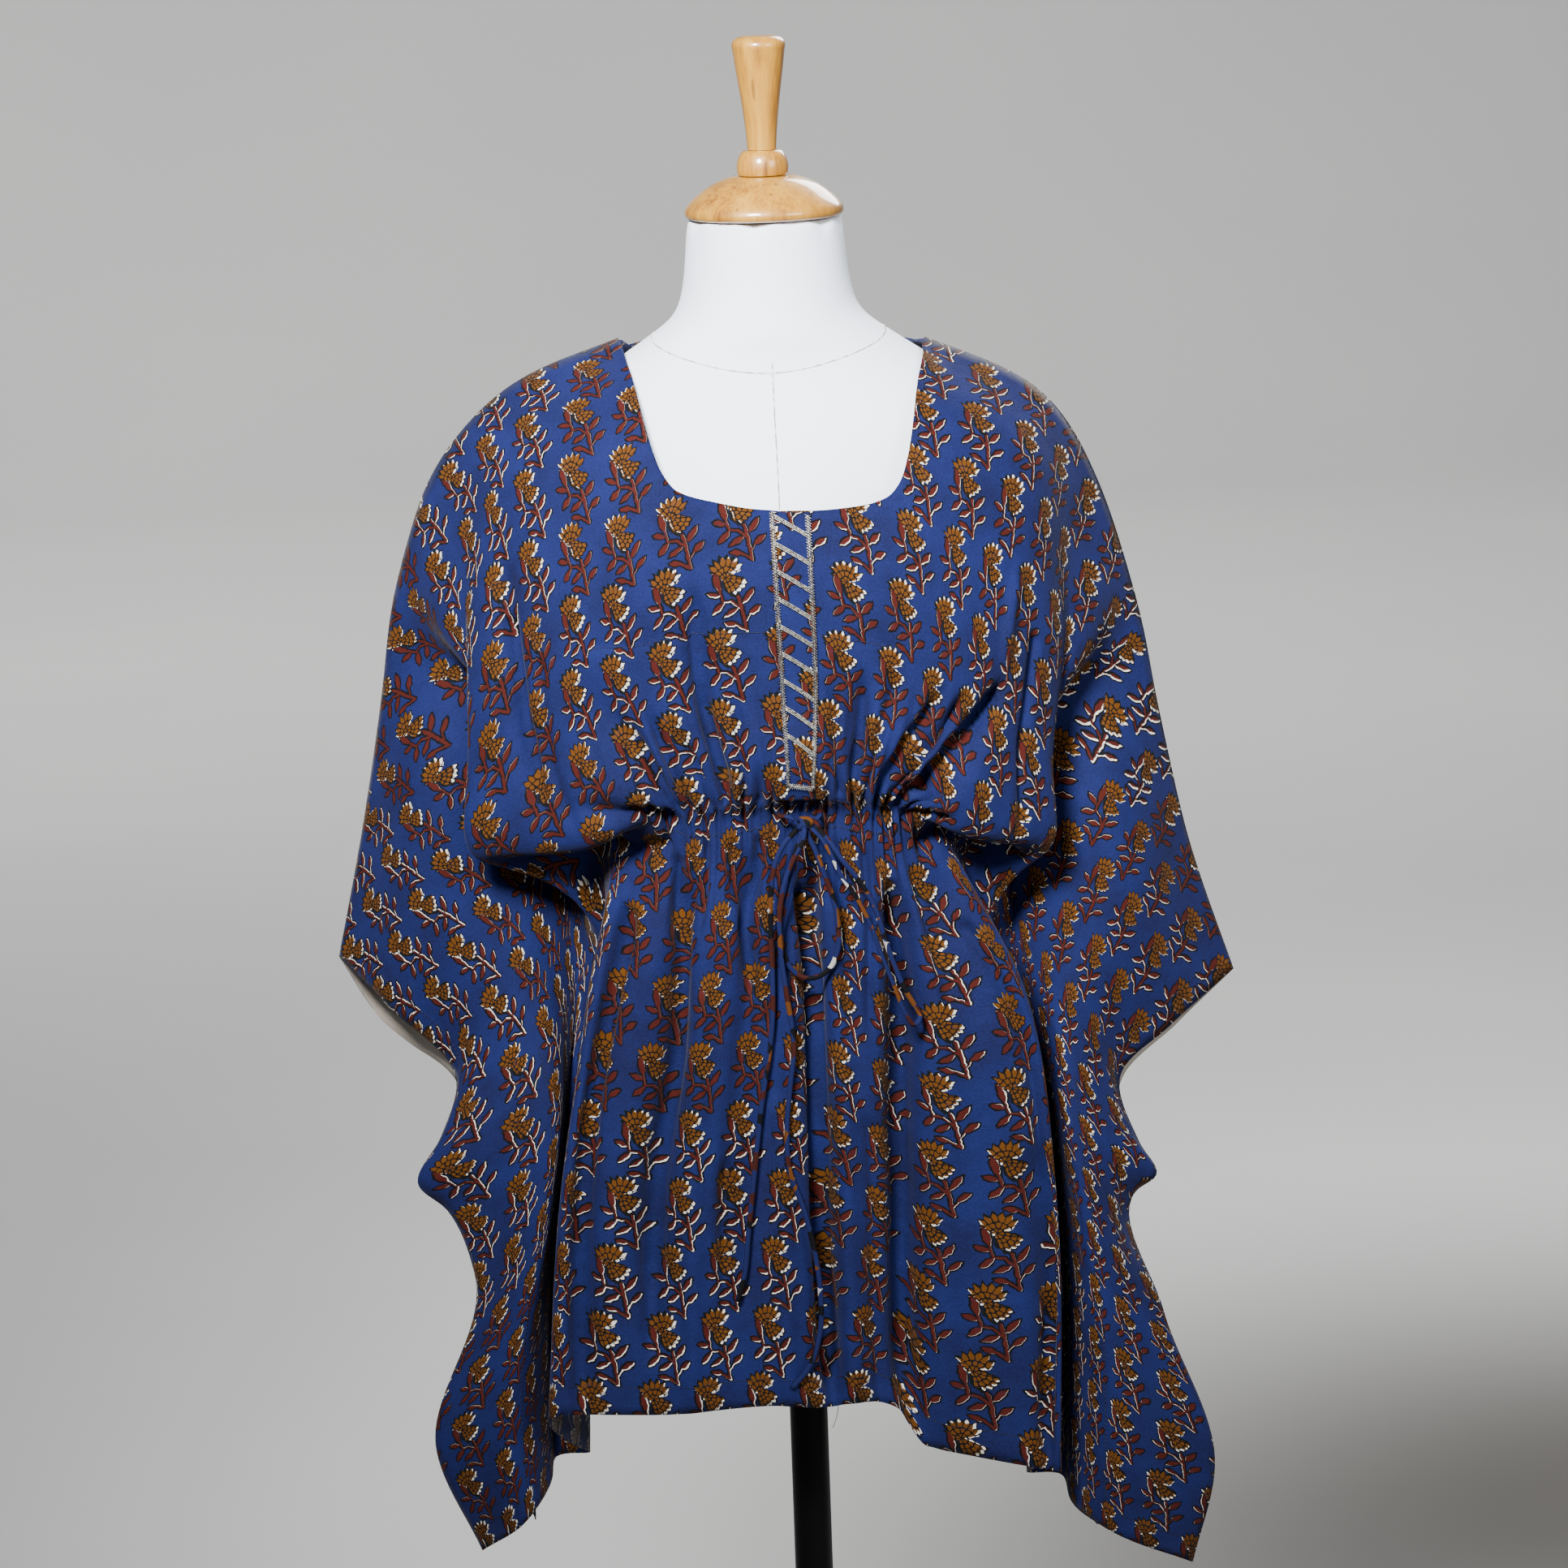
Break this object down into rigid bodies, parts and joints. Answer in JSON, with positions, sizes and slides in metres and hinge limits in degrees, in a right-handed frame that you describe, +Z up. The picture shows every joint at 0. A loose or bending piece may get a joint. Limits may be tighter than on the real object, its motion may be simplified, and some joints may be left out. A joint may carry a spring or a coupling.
{
  "type": "kaftan on dress form",
  "caption": "Short batwing kaftan of block-printed cotton with a scooped neck, laced placket band and bow-tied drawstring waist, worn by a limbless dress form on a pole and round base.",
  "frame": {"origin": "on the floor at the centre of the base's flat foot", "axes": "+Z up along the pole, -Y out of the garment's front, +X towards the viewer's right"},
  "size_m": [0.609, 0.32, 1.5655],
  "materials": {
    "printed_cotton": "matt, block printed",
    "silver_lace": "metallic thread",
    "cotton_cord": "matt",
    "white_cover": "matt, stretched",
    "varnished_wood": "gloss varnish",
    "black_steel": "semi-gloss black"
  },
  "bodies": {
    "root": {"front_panel": "printed_cotton", "back_panel": "printed_cotton", "placket_band": "printed_cotton", "lace_trim": "silver_lace", "string_left": "cotton_cord", "string_right": "cotton_cord", "bow_knot": "cotton_cord", "bow_loop_left": "cotton_cord", "bow_loop_right": "cotton_cord", "bow_tail_left": "cotton_cord", "bow_tail_right": "cotton_cord", "form_torso": "white_cover", "form_cap": "varnished_wood", "form_ball": "varnished_wood", "form_handle": "varnished_wood", "stand_pole": "black_steel", "stand_base": "black_steel"}
  },
  "joints": []
}
